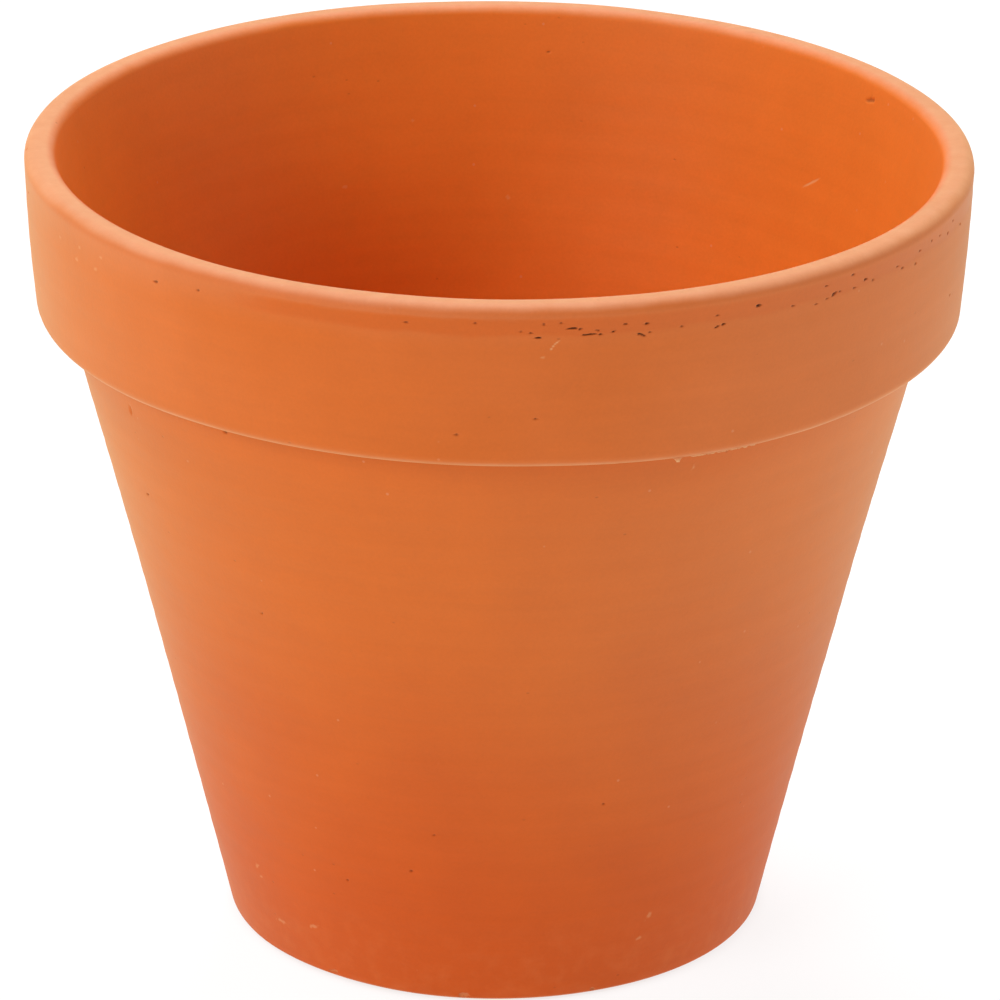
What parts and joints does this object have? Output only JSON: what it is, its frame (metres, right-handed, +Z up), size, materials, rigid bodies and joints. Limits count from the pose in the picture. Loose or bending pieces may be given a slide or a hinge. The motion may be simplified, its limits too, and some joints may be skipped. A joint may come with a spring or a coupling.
{
  "type": "terracotta pot",
  "caption": "Round tapered flower pot in fired clay with a wide rolled band under a rounded lip, a flat foot and a central drain hole.",
  "frame": {"origin": "middle of the foot's plane, which rests on the ground", "axes": "+Z up along the axis that the pot is turned about; +X and +Y are level and equivalent"},
  "size_m": [0.2098, 0.2098, 0.181],
  "materials": {
    "terracotta": "unglazed fired clay, matte, finely mottled, with a paler lip"
  },
  "bodies": {
    "root": {"pot_body": "terracotta"}
  },
  "joints": []
}
